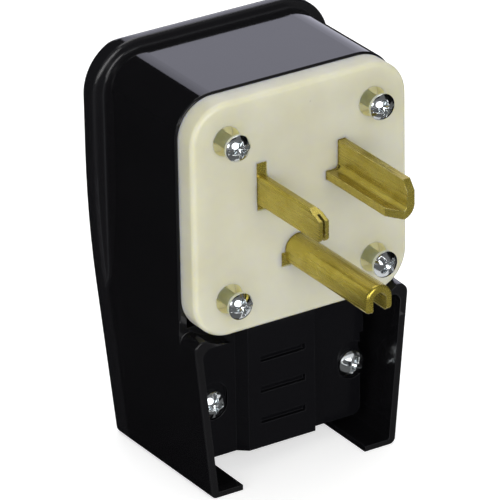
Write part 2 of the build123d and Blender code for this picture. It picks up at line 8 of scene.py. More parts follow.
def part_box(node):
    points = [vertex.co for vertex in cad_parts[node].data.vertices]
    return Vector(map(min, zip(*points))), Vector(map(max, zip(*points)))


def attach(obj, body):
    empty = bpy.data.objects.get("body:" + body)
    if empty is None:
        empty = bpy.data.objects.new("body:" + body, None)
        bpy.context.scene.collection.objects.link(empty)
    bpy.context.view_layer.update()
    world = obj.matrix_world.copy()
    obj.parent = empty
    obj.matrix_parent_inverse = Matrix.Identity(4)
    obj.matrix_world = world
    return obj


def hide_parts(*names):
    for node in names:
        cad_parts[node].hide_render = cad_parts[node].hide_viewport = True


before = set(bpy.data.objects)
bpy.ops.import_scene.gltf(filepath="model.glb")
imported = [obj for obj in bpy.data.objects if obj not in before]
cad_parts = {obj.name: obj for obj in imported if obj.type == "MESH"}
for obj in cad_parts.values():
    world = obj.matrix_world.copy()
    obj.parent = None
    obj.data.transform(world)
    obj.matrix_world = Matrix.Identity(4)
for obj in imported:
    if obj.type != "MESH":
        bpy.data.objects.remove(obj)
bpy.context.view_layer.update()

# Stage: a plain pale floor that runs out of sight and a white surround, as in a small product studio.
# Large soft lamps stand in front, to the left and above. Cards that only reflections see stand round the
# plug: black ones keep its glossy black sides black, and glowing ones draw its top, its edges and the metal.

MM = 0.001
FLOOR_Z = -71 * MM
FLOOR_HALF_SIZE = 6.0
CORNER_SIGNS = ((-1, -1), (1, -1), (1, 1), (-1, 1))
WHITE = (1, 1, 1)
FLOOR_COLOUR = (0.8, 0.8, 0.8)
FLOOR_SEEN_GLOW = 0.55
SURROUND_LIGHTING, SURROUND_SEEN = 0.42, 1.0
CARD_BLACK = (0.004, 0.004, 0.004)
LEAST_LENGTH = 1e-6


def nodes_of(material):
    """The node tree of a new node material, cleared, with a shader already joined to its output."""
    material.use_nodes = True
    tree = material.node_tree
    tree.nodes.clear()
    output = tree.nodes.new("ShaderNodeOutputMaterial")
    shader = tree.nodes.new("ShaderNodeBsdfPrincipled")
    tree.links.new(shader.outputs["BSDF"], output.inputs["Surface"])
    return tree, shader, output


def seen_directly(tree):
    """1 for camera, glossy and transmission rays and 0 for the rest.

    With it the floor and the surround look whiter than they light the plug.
    """
    path = tree.nodes.new("ShaderNodeLightPath")
    value = path.outputs["Is Camera Ray"]
    for name in ("Is Glossy Ray", "Is Transmission Ray"):
        add = tree.nodes.new("ShaderNodeMath")
        add.operation = "MAXIMUM"
        tree.links.new(value, add.inputs[0])
        tree.links.new(path.outputs[name], add.inputs[1])
        value = add.outputs[0]
    return value


def flat_mesh(name, corners, material):
    """A single four-sided face from its corners, given in order round it."""
    mesh = bpy.data.meshes.new(name)
    mesh.from_pydata([tuple(c) for c in corners], [], [(0, 1, 2, 3)])
    mesh.materials.append(material)
    thing = bpy.data.objects.new(name, mesh)
    bpy.context.scene.collection.objects.link(thing)
    return thing


def floor_material():
    """Pale matte floor that keeps the plug's shadow, with a glow for sight and reflections alone."""
    material = bpy.data.materials.new("studio_floor")
    tree, shader, output = nodes_of(material)
    shader.inputs["Base Color"].default_value = (*FLOOR_COLOUR, 1)
    shader.inputs["Roughness"].default_value = 0.9
    shader.inputs["Specular IOR Level"].default_value = 0.1
    glow = tree.nodes.new("ShaderNodeEmission")
    glow.inputs["Color"].default_value = (*WHITE, 1)
    both = tree.nodes.new("ShaderNodeAddShader")
    scale = tree.nodes.new("ShaderNodeMath")
    scale.operation = "MULTIPLY"
    scale.inputs[1].default_value = FLOOR_SEEN_GLOW
    tree.links.new(seen_directly(tree), scale.inputs[0])
    tree.links.new(scale.outputs[0], glow.inputs["Strength"])
    tree.links.new(shader.outputs["BSDF"], both.inputs[0])
    tree.links.new(glow.outputs[0], both.inputs[1])
    tree.links.new(both.outputs[0], output.inputs["Surface"])
    return material


floor_corners = [(x * FLOOR_HALF_SIZE, y * FLOOR_HALF_SIZE, FLOOR_Z) for x, y in CORNER_SIGNS]
flat_mesh("floor", floor_corners, floor_material())

world = bpy.data.worlds.new("surround")
bpy.context.scene.world = world
world.use_nodes = True
tree = world.node_tree
tree.nodes.clear()
output = tree.nodes.new("ShaderNodeOutputWorld")
background = tree.nodes.new("ShaderNodeBackground")
background.inputs["Color"].default_value = (*WHITE, 1)
level = tree.nodes.new("ShaderNodeMapRange")
level.inputs["To Min"].default_value = SURROUND_LIGHTING
level.inputs["To Max"].default_value = SURROUND_SEEN
tree.links.new(seen_directly(tree), level.inputs["Value"])
tree.links.new(level.outputs[0], background.inputs["Strength"])
tree.links.new(background.outputs[0], output.inputs["Surface"])


def card(name, centre, toward, width, height, strength=None, tint=WHITE):
    """A card that only reflections see, turned to a point: black, or glowing where a strength is given."""
    material = bpy.data.materials.new(name)
    tree, shader, output = nodes_of(material)
    if strength is None:
        shader.inputs["Base Color"].default_value = (*CARD_BLACK, 1)
        shader.inputs["Roughness"].default_value = 1.0
        shader.inputs["Specular IOR Level"].default_value = 0.0
    else:
        glow = tree.nodes.new("ShaderNodeEmission")
        glow.inputs["Color"].default_value = (*tint, 1)
        glow.inputs["Strength"].default_value = strength
        tree.links.new(glow.outputs[0], output.inputs["Surface"])
    centre, toward = Vector(centre), Vector(toward)
    facing = (toward - centre).normalized()
    across = facing.cross(Vector((0, 0, 1)))
    across = across.normalized() if across.length > LEAST_LENGTH else Vector((1, 0, 0))
    up = across.cross(facing)
    corners = [centre + across * a * width / 2 + up * b * height / 2 for a, b in CORNER_SIGNS]
    thing = flat_mesh(name, corners, material)
    thing.visible_camera = False
    thing.visible_shadow = False
    thing.visible_diffuse = False
    thing.visible_transmission = False
    thing.visible_volume_scatter = False


def lamp(name, centre, toward, width, height, power):
    """A soft lamp with an oval face at a place, turned towards a point."""
    data = bpy.data.lights.new(name, "AREA")
    data.shape = "ELLIPSE"
    data.size, data.size_y = width, height
    data.energy = power
    thing = bpy.data.objects.new(name, data)
    thing.location = centre
    thing.rotation_mode = "QUATERNION"
    thing.rotation_quaternion = (Vector(toward) - Vector(centre)).to_track_quat("-Z", "Y")
    bpy.context.scene.collection.objects.link(thing)


middle = (0, 0.01, -0.02)
above_floor_z = FLOOR_Z + 0.05 * MM
flag_width = 1.6
flag_low, flag_high = FLOOR_Z, 1.35
flag_middle_z = (flag_low + flag_high) / 2
flag_height = flag_high - flag_low
back_flag_edge_x = 0.222
back_flag_x = back_flag_edge_x - flag_width / 2
card("back_table_flag", centre=(0, 0.5, above_floor_z), toward=(0, 0.5, 1), width=2.4, height=1.0)
card("front_table_flag", centre=(0, -0.9, above_floor_z), toward=(0, -0.9, 1),
     width=2.4, height=1.8, strength=0.12)
card("back_left_flag", centre=(back_flag_x, 1.0, flag_middle_z), toward=(back_flag_x, 0, flag_middle_z),
     width=flag_width, height=flag_height)
card("left_flag", centre=(-1.3, 0.1, flag_middle_z), toward=(0, 0.1, flag_middle_z),
     width=flag_width, height=flag_height)
card("right_flag", centre=(1.1, 0, flag_middle_z), toward=(0, 0, flag_middle_z),
     width=1.4, height=flag_height)
card("overhead_flag", centre=(-0.5, 0, flag_high), toward=(-0.5, 0, 0), width=1.4, height=1.6)
card("plate_bounce", centre=(0.007, -0.011, -0.0385), toward=(0.007, -0.011, 1),
     width=0.046, height=0.018, strength=0.75)
card("front_surround", centre=(0, -1.8, 0.9), toward=(0, 0, 0.9), width=3.6, height=2.2, strength=0.16)
card("left_surround", centre=(-1.8, -0.85, 0.9), toward=(0, -0.85, 0.9), width=1.9, height=2.2, strength=0.22)
card("right_surround", centre=(1.8, -0.85, 0.9), toward=(0, -0.85, 0.9), width=1.9, height=2.2, strength=0.02)
card("upper_surround", centre=(0, -0.4, 2.0), toward=(0, -0.4, 0), width=3.6, height=2.8, strength=0.14)
card("back_right_reflector", centre=(0.95, 1.02, 0.6), toward=(0, 0.02, 0.1),
     width=1.5, height=1.5, strength=1.2, tint=(0.98, 0.98, 1.16))
lamp("front_softbox", centre=(-0.26, -1.12, 0.33), toward=middle, width=0.95, height=0.8, power=8.8)
lamp("left_softbox", centre=(-1.1, -0.45, 0.4), toward=middle, width=0.6, height=0.6, power=3.4)
lamp("top_softbox", centre=(0.15, 0.3, 1.0), toward=middle, width=0.8, height=0.8, power=3.8)

# Camera: a long lens from the front left, about 25 degrees above the plug, as in the photograph.
# It looks at a point just left of the face plate's middle and is rolled by one degree.

CAMERA_AZIMUTH = math.radians(-32.037)
CAMERA_ELEVATION = math.radians(25.417)
CAMERA_ROLL = math.radians(-1.0)
CAMERA_DISTANCE = 1252.55 * MM
CAMERA_TARGET = Vector((-14.232 * MM, 0, -9.019 * MM))
CAMERA_LENS = 389.997
SENSOR_WIDTH = 36.0
NEAR_CLIP, FAR_CLIP = 0.05, 50

back = Vector((math.sin(CAMERA_AZIMUTH) * math.cos(CAMERA_ELEVATION),
               -math.cos(CAMERA_AZIMUTH) * math.cos(CAMERA_ELEVATION), math.sin(CAMERA_ELEVATION)))
right = Vector((math.cos(CAMERA_AZIMUTH), math.sin(CAMERA_AZIMUTH), 0))
up = back.cross(right)
right, up = (right * math.cos(CAMERA_ROLL) + up * math.sin(CAMERA_ROLL),
             up * math.cos(CAMERA_ROLL) - right * math.sin(CAMERA_ROLL))
camera_data = bpy.data.cameras.new("camera")
camera_data.lens = CAMERA_LENS
camera_data.sensor_width = SENSOR_WIDTH
camera_data.clip_start = NEAR_CLIP
camera_data.clip_end = FAR_CLIP
camera = bpy.data.objects.new("camera", camera_data)
camera.matrix_world = Matrix.Translation(CAMERA_TARGET + back * CAMERA_DISTANCE) @ Matrix(
    (right, up, back)).transposed().to_4x4()
bpy.context.scene.collection.objects.link(camera)
bpy.context.scene.camera = camera
bpy.context.scene.view_settings.view_transform = "Standard"

# Housing: one compression-moulded black shell with a polished skin. Its body, grip rim, tapered lower
# walls, lips and posts are a single piece, so the node stays and gets the moulded finish: a deep black
# under a clear gloss, with faint flow unevenness, and edges and rim lightened partly from rubbing and partly
# as a painted sheen.

# The lighter black is for rubbing and for a painted sheen on the edges and the rim.
HOUSING_BLACK, RUBBED_AND_SHEEN_BLACK = (0.0042, 0.0041, 0.0047), (0.016, 0.016, 0.018)
HOUSING_ROUGHNESS = 0.08
SMOOTHER, ROUGHER = 0.7, 1.5
USUAL_REFLECTION = 0.5
RESIN_INDEX = 1.5
NOISE_LOW, NOISE_HIGH = 0.3, 0.7
MOTTLE_SCALE, WAVE_SCALE = 900, 60
WAVE_LIFT = 1.4
SKIN_WAVINESS = 0.02 * MM
EDGE_ROUND, RIM_EDGE_ROUND = 0.3 * MM, 1.0 * MM
RIM_Y, RIM_BLEND = 37 * MM, 0.4 * MM
RIM_RUBBING_AND_SHEEN = 0.32
EDGE_SAMPLES = 6
FLAT_AGREEMENT, EDGE_AGREEMENT = 0.995, 0.86


def object_coordinates(tree, scale):
    """Object coordinates in metres, scaled to the size of a pattern by one number or one for each axis."""
    source = tree.nodes.new("ShaderNodeTexCoord")
    mapping = tree.nodes.new("ShaderNodeMapping")
    mapping.inputs["Scale"].default_value = scale if hasattr(scale, "__len__") else (scale,) * 3
    tree.links.new(source.outputs["Object"], mapping.inputs["Vector"])
    return mapping.outputs["Vector"]


def noise(tree, coordinates, detail, roughness, distortion=0.0):
    """Fractal noise from 0 to 1 over the given coordinates."""
    texture = tree.nodes.new("ShaderNodeTexNoise")
    texture.inputs["Scale"].default_value = 1.0
    texture.inputs["Detail"].default_value = detail
    texture.inputs["Roughness"].default_value = roughness
    texture.inputs["Distortion"].default_value = distortion
    tree.links.new(coordinates, texture.inputs["Vector"])
    return texture.outputs["Fac"]


def remap(tree, value, low, high, to_low, to_high):
    """value taken from the range low to high and brought to to_low to to_high, clamped at both ends."""
    node = tree.nodes.new("ShaderNodeMapRange")
    node.inputs["From Min"].default_value = low
    node.inputs["From Max"].default_value = high
    node.inputs["To Min"].default_value = to_low
    node.inputs["To Max"].default_value = to_high
    tree.links.new(value, node.inputs["Value"])
    return node.outputs["Result"]


def blend_colours(tree, share, first, second):
    """The colour that goes from first to second as share goes from 0 to 1.

    Either may be a colour or a socket.
    """
    node = tree.nodes.new("ShaderNodeMix")
    node.data_type = "RGBA"
    tree.links.new(share, node.inputs["Factor"])
    for colour, socket in ((first, node.inputs[6]), (second, node.inputs[7])):
        if isinstance(colour, tuple):
            socket.default_value = (*colour, 1)
        else:
            tree.links.new(colour, socket)
    return node.outputs[2]


def softened(tree, radius):
    """The shading normal, rounded over every edge by a radius that is a length in metres or a socket."""
    soft = tree.nodes.new("ShaderNodeBevel")
    soft.samples = EDGE_SAMPLES
    if isinstance(radius, float):
        soft.inputs["Radius"].default_value = radius
    else:
        tree.links.new(radius, soft.inputs["Radius"])
    return soft.outputs["Normal"]


def on_edges(tree, soft):
    """1 on the edges and 0 away from them, by how far the softened normal leans from the true one."""
    flat = tree.nodes.new("ShaderNodeNewGeometry")
    agree = tree.nodes.new("ShaderNodeVectorMath")
    agree.operation = "DOT_PRODUCT"
    tree.links.new(soft, agree.inputs[0])
    tree.links.new(flat.outputs["True Normal"], agree.inputs[1])
    return remap(tree, agree.outputs["Value"], FLAT_AGREEMENT, EDGE_AGREEMENT, 0, 1)


def bump(tree, shader, height, distance, over=None):
    """Raises the shading surface by distance, in metres, where height is 1."""
    node = tree.nodes.new("ShaderNodeBump")
    node.inputs["Strength"].default_value = 1.0
    node.inputs["Distance"].default_value = distance
    tree.links.new(height, node.inputs["Height"])
    if over is not None:
        tree.links.new(over, node.inputs["Normal"])
    tree.links.new(node.outputs["Normal"], shader.inputs["Normal"])


def moulded_black(name, colour, roughness, reflection=USUAL_REFLECTION, rim_y=None):
    """Polished black thermoset: mottled gloss, a slow waviness of the skin and lighter edges.

    The edges are lighter partly from rubbing and partly as a painted sheen. Where rim_y is given, the rim
    that lies beyond it along Y is lightened the same way, and its edges are rounder.
    """
    material = bpy.data.materials.new(name)
    tree, shader, _ = nodes_of(material)
    fine = noise(tree, object_coordinates(tree, MOTTLE_SCALE), detail=5, roughness=0.6)
    slow = noise(tree, object_coordinates(tree, WAVE_SCALE), detail=2, roughness=0.4)
    base = blend_colours(tree, slow, colour, tuple(WAVE_LIFT * c for c in colour))
    edge_round = EDGE_ROUND
    if rim_y is not None:
        split = tree.nodes.new("ShaderNodeSeparateXYZ")
        tree.links.new(object_coordinates(tree, 1), split.inputs[0])
        rim_low = rim_y - RIM_BLEND
        # The rim beyond rim_y is lightened, partly from rubbing and partly as a painted sheen.
        rim_rubbing_and_sheen = remap(tree, split.outputs["Y"], rim_low, rim_y, 0, RIM_RUBBING_AND_SHEEN)
        base = blend_colours(tree, rim_rubbing_and_sheen, base, RUBBED_AND_SHEEN_BLACK)
        edge_round = remap(tree, split.outputs["Y"], rim_low, rim_y, EDGE_ROUND, RIM_EDGE_ROUND)
    soft = softened(tree, edge_round)
    # Edges are lightened, partly from rubbing and partly as a painted edge sheen.
    base = blend_colours(tree, on_edges(tree, soft), base, RUBBED_AND_SHEEN_BLACK)
    tree.links.new(base, shader.inputs["Base Color"])
    mottled = remap(tree, fine, NOISE_LOW, NOISE_HIGH, roughness * SMOOTHER, roughness * ROUGHER)
    tree.links.new(mottled, shader.inputs["Roughness"])
    shader.inputs["Specular IOR Level"].default_value = reflection
    shader.inputs["IOR"].default_value = RESIN_INDEX
    bump(tree, shader, slow, SKIN_WAVINESS, over=soft)
    return material


def dress(node_name, material):
    """Gives a carried-over node its finished material in place of the plain one it came with."""
    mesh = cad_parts[node_name].data
    mesh.materials.clear()
    mesh.materials.append(material)


dress("housing", moulded_black("housing_black", HOUSING_BLACK, HOUSING_ROUGHNESS, rim_y=RIM_Y))

# Face plate: injection-moulded nylon, cream and slightly translucent, with a satin skin.
# It is screwed to the housing by four screws that pass through its counterbores.

NYLON_CREAM, NYLON_PALE, NYLON_SPECK = (0.57, 0.555, 0.43), (0.61, 0.60, 0.49), (0.25, 0.23, 0.17)
CLOUD_SCALE, GRAIN_SCALE, SPECK_SCALE = 70, 1500, 520
NYLON_GRAIN = 0.004 * MM
NYLON_SMOOTHEST, NYLON_ROUGHEST = 0.34, 0.46
NYLON_INDEX = 1.53
SCATTER_SHARE, SCATTER_BY_COLOUR, SCATTER_LENGTH = 0.9, (1.0, 0.92, 0.4), 6 * MM
PLATE_EDGE_ROUND = 0.4 * MM
SCREW_OFFSET = 20 * MM
HOLE_REACH, HOLE_FADE_OUT = 4.6 * MM, 6.2 * MM
HOLE_MOUTH, HOLE_WALL = 0.05 * MM, 0.5 * MM
HOLE_MOUTH_SHARE = 0.12
# The screw holes' warmer tone and glow are painted light that stands for light through the nylon.
HOLE_PAINTED_LIGHT_TONE = (0.60, 0.57, 0.34)
NO_GLOW, HOLE_GLOW = (0.0, 0.0, 0.0), (0.30, 0.28, 0.15)
HOLE_GLOW_STRENGTH = 0.55


def multiplied(tree, first, second):
    """The product of two values."""
    node = tree.nodes.new("ShaderNodeMath")
    node.operation = "MULTIPLY"
    tree.links.new(first, node.inputs[0])
    tree.links.new(second, node.inputs[1])
    return node.outputs[0]


def in_screw_holes(tree):
    """1 on the walls of the four screw holes and 0 away from them, as the product of two shares.

    One falls with the distance to the nearest hole's axis, which is SCREW_OFFSET from the middle on X and Z.
    The other grows with the depth behind the plate's front.
    """
    split = tree.nodes.new("ShaderNodeSeparateXYZ")
    tree.links.new(object_coordinates(tree, 1), split.inputs[0])
    beside = tree.nodes.new("ShaderNodeCombineXYZ")
    for axis in ("X", "Z"):
        size = tree.nodes.new("ShaderNodeMath")
        size.operation = "ABSOLUTE"
        tree.links.new(split.outputs[axis], size.inputs[0])
        offset = tree.nodes.new("ShaderNodeMath")
        offset.operation = "SUBTRACT"
        offset.inputs[1].default_value = SCREW_OFFSET
        tree.links.new(size.outputs[0], offset.inputs[0])
        tree.links.new(offset.outputs[0], beside.inputs[axis])
    distance = tree.nodes.new("ShaderNodeVectorMath")
    distance.operation = "LENGTH"
    tree.links.new(beside.outputs[0], distance.inputs[0])
    near = remap(tree, distance.outputs["Value"], HOLE_REACH, HOLE_FADE_OUT, 1, 0)
    sunk = remap(tree, split.outputs["Y"], HOLE_MOUTH, HOLE_WALL, HOLE_MOUTH_SHARE, 1)
    return multiplied(tree, near, sunk)


def cream_nylon():
    """Warm white with slow clouds, rare dark specks, light scattered under the skin and a soft satin grain.

    A warmer tone and a faint glow in the screw holes stand for the light that comes through their walls.
    """
    material = bpy.data.materials.new("plate_nylon")
    tree, shader, _ = nodes_of(material)
    clouds = noise(tree, object_coordinates(tree, CLOUD_SCALE), detail=3, roughness=0.5)
    grain = noise(tree, object_coordinates(tree, GRAIN_SCALE), detail=4, roughness=0.6)
    specks = noise(tree, object_coordinates(tree, SPECK_SCALE), detail=2, roughness=0.4)
    in_holes = in_screw_holes(tree)
    base = blend_colours(tree, remap(tree, clouds, 0.35, 0.65, 0, 1), NYLON_CREAM, NYLON_PALE)
    base = blend_colours(tree, remap(tree, specks, 0.79, 0.83, 0, 0.7), base, NYLON_SPECK)
    # A warmer, lighter tone in the screw holes: painted light, standing for light through the nylon.
    base = blend_colours(tree, in_holes, base, HOLE_PAINTED_LIGHT_TONE)
    tree.links.new(base, shader.inputs["Base Color"])
    # A faint glow in the screw holes: painted light, as they are no lamp.
    glow = blend_colours(tree, in_holes, NO_GLOW, HOLE_GLOW)
    tree.links.new(glow, shader.inputs["Emission Color"])
    shader.inputs["Emission Strength"].default_value = HOLE_GLOW_STRENGTH
    satin = remap(tree, grain, NOISE_LOW, NOISE_HIGH, NYLON_SMOOTHEST, NYLON_ROUGHEST)
    tree.links.new(satin, shader.inputs["Roughness"])
    shader.inputs["Subsurface Weight"].default_value = SCATTER_SHARE
    shader.inputs["Subsurface Radius"].default_value = SCATTER_BY_COLOUR
    shader.inputs["Subsurface Scale"].default_value = SCATTER_LENGTH
    shader.inputs["IOR"].default_value = NYLON_INDEX
    bump(tree, shader, grain, NYLON_GRAIN, over=softened(tree, PLATE_EDGE_ROUND))
    return material


dress("face_plate", cream_nylon())

# Terminal block: a matte brown moulding behind the face plate that traps the blades' flanges.
# Nothing of it shows from the front, and a little through the cord opening.

BLOCK_DARK, BLOCK_LIGHT = (0.075, 0.038, 0.022), (0.13, 0.075, 0.045)
SPECKLE_SCALE, SPECKLE_HEIGHT = 1800, 0.01 * MM


def matte_brown():
    """Brown thermoset with a fine speckle in two tones and a matte skin."""
    material = bpy.data.materials.new("block_brown")
    tree, shader, _ = nodes_of(material)
    speckle = noise(tree, object_coordinates(tree, SPECKLE_SCALE), detail=6, roughness=0.7)
    base = blend_colours(tree, remap(tree, speckle, 0.35, 0.7, 0, 1), BLOCK_DARK, BLOCK_LIGHT)
    tree.links.new(base, shader.inputs["Base Color"])
    shader.inputs["Roughness"].default_value = 0.6
    bump(tree, shader, speckle, SPECKLE_HEIGHT)
    return material


dress("terminal_block", matte_brown())

# Blades: brass strip, folded, bent or rolled in a press and left unplated, so it has darkened unevenly
# and shows fine draw lines along its length and small dark spots.

FRESH_BRASS, TARNISHED_BRASS = (0.54, 0.45, 0.09), (0.42, 0.335, 0.045)
LINE_BROWN, PIT_BROWN = (0.26, 0.20, 0.045), (0.07, 0.05, 0.015)
# The darker top tone is painted shade on faces that look up. The bright edge tone is wear and a painted
# highlight.
TOP_PAINTED_SHADE, WORN_AND_HIGHLIGHT_BRASS = (0.25, 0.19, 0.04), (0.85, 0.78, 0.42)
DRAW_LINE_SCALE = (2600, 60, 2600)
RAGGED_SCALE = (1500, 420, 1500)
TARNISH_SCALE, PIT_SCALE = 160, 900
BRASS_SMOOTHEST, BRASS_ROUGHEST = 0.17, 0.33
DRAW_LINE_DEPTH = 0.01 * MM
BLADE_EDGE_ROUND = 0.22 * MM


def aged_brass():
    """Brass with tarnish clouds, dark pits, bright ragged edges and fine lines along the blade, which is Y.

    The bright edges are partly wear and partly a painted highlight. Faces that look up are darkened as
    painted shade.
    """
    material = bpy.data.materials.new("blade_brass")
    tree, shader, _ = nodes_of(material)
    lines = noise(tree, object_coordinates(tree, DRAW_LINE_SCALE), detail=4, roughness=0.6)
    clouds = noise(tree, object_coordinates(tree, TARNISH_SCALE), detail=4, roughness=0.55, distortion=0.4)
    pits = noise(tree, object_coordinates(tree, PIT_SCALE), detail=5, roughness=0.65)
    ragged = noise(tree, object_coordinates(tree, RAGGED_SCALE), detail=4, roughness=0.6)
    soft = softened(tree, BLADE_EDGE_ROUND)
    # Ragged bright edges: partly wear, partly a painted edge highlight.
    wear_and_highlight = multiplied(tree, on_edges(tree, soft), remap(tree, ragged, 0.42, 0.56, 0, 0.9))
    facing = tree.nodes.new("ShaderNodeNewGeometry")
    up_share_for_top_shade = tree.nodes.new("ShaderNodeSeparateXYZ")
    tree.links.new(facing.outputs["True Normal"], up_share_for_top_shade.inputs[0])
    base = blend_colours(tree, remap(tree, clouds, 0.35, 0.68, 0, 1), FRESH_BRASS, TARNISHED_BRASS)
    base = blend_colours(tree, remap(tree, lines, 0.5, 0.66, 0, 0.3), base, LINE_BROWN)
    base = blend_colours(tree, remap(tree, pits, 0.66, 0.78, 0, 0.8), base, PIT_BROWN)
    # Faces that look up are darkened: painted shade.
    base = blend_colours(tree, remap(tree, up_share_for_top_shade.outputs["Z"], 0.8, 0.97, 0, 0.4), base, TOP_PAINTED_SHADE)
    base = blend_colours(tree, wear_and_highlight, base, WORN_AND_HIGHLIGHT_BRASS)
    tree.links.new(base, shader.inputs["Base Color"])
    shader.inputs["Metallic"].default_value = 0.75
    brushed = remap(tree, lines, NOISE_LOW, NOISE_HIGH, BRASS_SMOOTHEST, BRASS_ROUGHEST)
    tree.links.new(brushed, shader.inputs["Roughness"])
    bump(tree, shader, lines, DRAW_LINE_DEPTH, over=soft)
    return material


blade_brass = aged_brass()
for node_name in ("straight_blade", "l_blade", "ground_pin"):
    dress(node_name, blade_brass)

# Cord clamp: a black moulded plate, screwed to two posts, that presses the cord against the housing's back.
# It is of the same kind of moulding as the housing, with a duller skin that mirrors less.

CLAMP_BLACK = (0.0034, 0.0034, 0.0042)
CLAMP_ROUGHNESS, CLAMP_REFLECTION = 0.12, 0.15

dress("cord_clamp", moulded_black("clamp_black", CLAMP_BLACK, CLAMP_ROUGHNESS, CLAMP_REFLECTION))

# Screws: cold-headed steel with a bright zinc plating. The heads carry a slot across a cross recess, with
# edges softened by the punch, and the shank is plain below the head and rolled with a thread further in.

# The screws' sizes are in mm, and screw brings them to metres.
HEAD_AROUND, HEAD_STATIONS, SHANK_AROUND = 256, 56, 48
SKIRT_SHARE, SKIRT_DROP = 0.36, 0.06
SEAT_EDGE, SEAT_BREAK = 0.10, 0.03
SLOT_WIDTH, SLOT_DEPTH = 0.85, 1.25
CROSS_WIDTH, CROSS_DEPTH, CROSS_REACH, CROSS_RUN_OUT = 1.3, 1.9, 2.25, 0.6
BOWL_CURVE, WING_TAPER = 1.5, 0.25
EDGE_SOFTNESS = 0.22
THREAD_PITCH, THREAD_DEPTH, STEPS_PER_TURN = 0.8, 0.35, 8
LEAST_THREAD, RIDGE_FULLNESS = 0.5, 1.4
SHANK_IN_HEAD, NECK = 0.3, 0.2
POINT_NARROWING, POINT_LENGTH = 0.8, 1.2
HEAD_ZINC_DARK, HEAD_ZINC_LIGHT = (0.68, 0.71, 0.73), (0.82, 0.85, 0.87)
SHANK_ZINC_DARK, SHANK_ZINC_LIGHT = (0.36, 0.39, 0.38), (0.62, 0.66, 0.64)
PLATING_SCALE = 700
PLATING_UNEVENNESS = 0.006 * MM


def bright_zinc(name, darker, lighter, smoothest, roughest):
    """Zinc plating in two mingled tones, slightly uneven in gloss."""
    material = bpy.data.materials.new(name)
    tree, shader, _ = nodes_of(material)
    patches = noise(tree, object_coordinates(tree, PLATING_SCALE), detail=4, roughness=0.6)
    tree.links.new(blend_colours(tree, patches, darker, lighter), shader.inputs["Base Color"])
    shader.inputs["Metallic"].default_value = 1.0
    uneven = remap(tree, patches, NOISE_LOW, NOISE_HIGH, smoothest, roughest)
    tree.links.new(uneven, shader.inputs["Roughness"])
    bump(tree, shader, patches, PLATING_UNEVENNESS)
    return material


def turned_shell(rows, first_pole, last_pole):
    """Vertices and faces of a closed skin: a row of points round the axis for each station, and two poles.

    rows is stations x around x 3. Station i joins station i + 1 by quads, and the end rows join their
    poles by fans.
    """
    stations, around = rows.shape[:2]
    points = np.concatenate(([first_pole], rows.reshape(-1, 3), [last_pole]))
    index = 1 + np.arange(stations * around).reshape(stations, around)
    beside = np.roll(index, -1, axis=1)
    quads = np.stack((index[:-1], index[1:], beside[1:], beside[:-1]), axis=-1).reshape(-1, 4)
    first_fan = np.stack((np.zeros(around, int), index[0], beside[0]), axis=-1)
    last_fan = np.stack((np.full(around, len(points) - 1), beside[-1], index[-1]), axis=-1)
    return points, quads, np.concatenate((first_fan, last_fan))


def smooth_step(value):
    """0 below 0, 1 above 1, and 3 v squared less 2 v cubed between."""
    value = np.clip(value, 0, 1)
    return value * value * (3 - 2 * value)


def head_rows(radius, height, shank_radius):
    """The head's skin, from near its pole over the top and the skirt and in below to the shank, in mm.

    The top is a cap of a sphere. The slot takes it down to a level floor over a strip half SLOT_WIDTH to
    each side of the first axis. The cross takes it down to a bowl over strips along both axes, and runs
    out at CROSS_REACH.
    """
    around = 2 * math.pi * np.arange(HEAD_AROUND) / HEAD_AROUND
    share = np.linspace(1 / HEAD_STATIONS, 1, HEAD_STATIONS)
    out, angle = np.meshgrid(share * radius, around, indexing="ij")
    along, across = out * np.cos(angle), out * np.sin(angle)
    skirt = SKIRT_SHARE * height
    cap = height - skirt
    sphere = (radius ** 2 + cap ** 2) / (2 * cap)
    top = height - sphere + np.sqrt(sphere ** 2 - out ** 2)
    in_slot = smooth_step((SLOT_WIDTH / 2 - np.abs(across)) / EDGE_SOFTNESS + 0.5)
    top = top - in_slot * np.maximum(top - (height - SLOT_DEPTH), 0)
    bowl = height - CROSS_DEPTH + (CROSS_DEPTH - CROSS_RUN_OUT) * (out / CROSS_REACH) ** BOWL_CURVE
    wing = CROSS_WIDTH / 2 * (1 - WING_TAPER * out / CROSS_REACH)
    nearest = np.minimum(np.abs(along), np.abs(across))
    in_cross = smooth_step((wing - nearest) / EDGE_SOFTNESS + 0.5)
    top = top - in_cross * np.maximum(top - bowl, 0)
    skin = np.stack((along, across, top), axis=-1)
    below = np.array([(radius, skirt - SKIRT_DROP), (radius, SEAT_EDGE), (radius - SEAT_BREAK, SEAT_BREAK),
                      (radius - SEAT_EDGE, 0), (shank_radius, 0)])
    ring = np.stack((np.cos(around), np.sin(around)), axis=-1)
    rings = below[:, :1, None] * ring[None]
    heights = np.repeat(below[:, 1:, None], HEAD_AROUND, axis=1)
    under = np.concatenate((rings, heights), axis=2)
    return np.concatenate((skin, under)), (0, 0, height - CROSS_DEPTH), (0, 0, 0)


